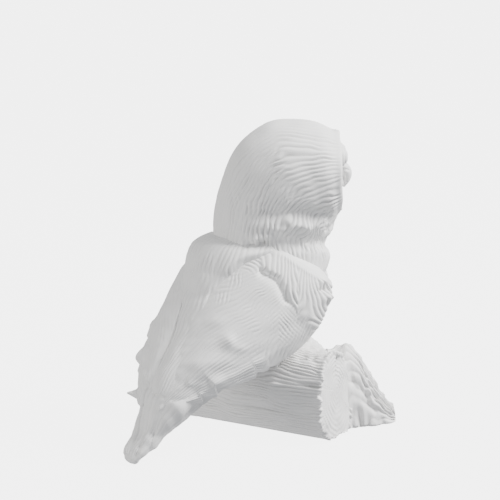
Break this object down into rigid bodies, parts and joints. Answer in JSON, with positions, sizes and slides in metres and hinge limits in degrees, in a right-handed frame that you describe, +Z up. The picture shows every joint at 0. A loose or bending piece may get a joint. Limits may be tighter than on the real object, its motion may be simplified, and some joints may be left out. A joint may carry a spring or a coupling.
{
  "type": "owl figurine",
  "caption": "Cast owl figurine perched across a short sawn log, head turned over its right shoulder, white matt finish.",
  "frame": {"origin": "on the resting surface, under the middle of the log, midway between the owl's legs from side to side", "axes": "+Z up; the owl's body faces -Y; its left side is +X"},
  "size_m": [0.1463, 0.2076, 0.222],
  "materials": {
    "cast_resin": "matte",
    "steel": "brushed",
    "felt": "matte"
  },
  "bodies": {
    "root": {"head_casting": "cast_resin", "facial_disc": "cast_resin", "beak": "cast_resin", "eye_left": "cast_resin", "eye_right": "cast_resin", "body_casting": "cast_resin", "wing_left": "cast_resin", "wing_right": "cast_resin", "tail_casting": "cast_resin", "leg_left": "cast_resin", "leg_right": "cast_resin", "foot_left": "cast_resin", "foot_right": "cast_resin", "log_casting": "cast_resin", "branch_stub": "cast_resin", "ballast_bar": "steel", "neck_dowel": "steel", "leg_rod_left": "steel", "leg_rod_right": "steel", "wing_pin_left_front": "steel", "wing_pin_left_rear": "steel", "wing_pin_right_front": "steel", "wing_pin_right_rear": "steel", "tail_pin_left": "steel", "tail_pin_right": "steel", "stub_pin_upper": "steel", "stub_pin_lower": "steel", "felt_pad": "felt"}
  },
  "joints": []
}
